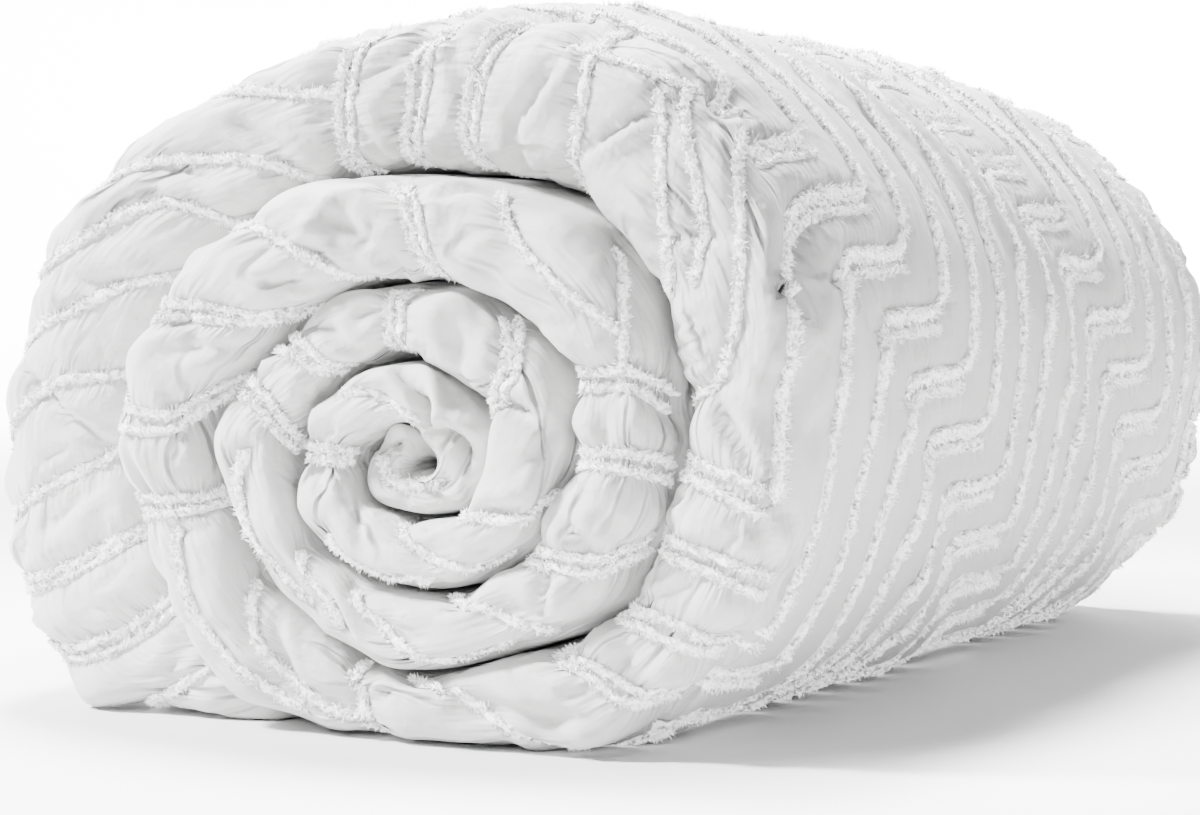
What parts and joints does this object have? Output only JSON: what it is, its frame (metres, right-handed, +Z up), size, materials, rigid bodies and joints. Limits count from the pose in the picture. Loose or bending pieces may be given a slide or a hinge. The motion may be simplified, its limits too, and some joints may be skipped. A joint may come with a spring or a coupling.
{
  "type": "rolled tufted duvet",
  "caption": "White tufted duvet, folded lengthwise and rolled up, with round front folds, a spiral end, stepped tufted ribs and a tucked loose end.",
  "frame": {"origin": "centre of the roll's footprint, on the surface it lies on", "axes": "+Z up, +Y along the roll away from the end with the round folds, +X to the right as seen from that end"},
  "size_m": [0.5204, 0.769, 0.39],
  "materials": {
    "cover": "matte brushed cotton cover with clipped cotton tufting"
  },
  "bodies": {
    "root": {"duvet": "cover"}
  },
  "joints": []
}
